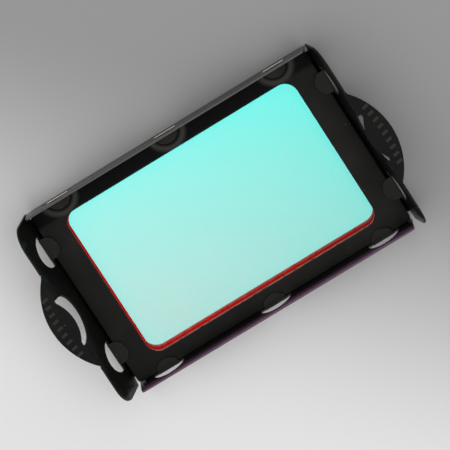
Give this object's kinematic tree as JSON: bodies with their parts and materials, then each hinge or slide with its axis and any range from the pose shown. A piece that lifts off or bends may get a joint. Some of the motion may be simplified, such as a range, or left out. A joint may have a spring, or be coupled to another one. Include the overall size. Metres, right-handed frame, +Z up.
{
  "type": "drop-in camera filter",
  "caption": "Shallow black folded-sheet tray with sprung flared ends and half-round finger wings, holding a cyan-reflecting filter glass under a mask plate with bent-over tabs.",
  "frame": {"origin": "middle of the tray's flat underside, on the surface it rests on", "axes": "+X along the tray's length, from the left finger wing to the right one; +Y across the tray, from front to rear; +Z up, out of the tray's open side"},
  "size_m": [0.0558, 0.0304, 0.0087],
  "materials": {
    "black_sheet": "satin",
    "black_mask": "satin",
    "dark_gasket": "matte",
    "coated_glass": "polished"
  },
  "bodies": {
    "root": {"holder_tray": "black_sheet", "mask_plate": "black_mask", "glass_gasket": "dark_gasket", "filter_glass": "coated_glass", "front_retaining_tab_1": "black_sheet", "front_retaining_tab_2": "black_sheet", "front_retaining_tab_3": "black_sheet", "rear_retaining_tab_1": "black_sheet", "rear_retaining_tab_2": "black_sheet", "rear_retaining_tab_3": "black_sheet", "left_retaining_tab_1": "black_sheet", "left_retaining_tab_2": "black_sheet", "right_retaining_tab_1": "black_sheet", "right_retaining_tab_2": "black_sheet"},
    "left_flank": {"left_spring_flank": "black_sheet", "left_finger_wing": "black_sheet"},
    "right_flank": {"right_spring_flank": "black_sheet", "right_finger_wing": "black_sheet"}
  },
  "joints": [
    {"name": "left_flank_squeeze", "type": "hinge", "parent": "root", "child": "left_flank", "pos_m": [-0.02336, 0, 0.00209], "axis": [0, 1, 0], "range_deg": [0, 8], "stiffness_Nm_per_rad": 0.05},
    {"name": "right_flank_squeeze", "type": "hinge", "parent": "root", "child": "right_flank", "pos_m": [0.02336, 0, 0.00209], "axis": [0, -1, 0], "range_deg": [0, 8], "stiffness_Nm_per_rad": 0.05}
  ]
}
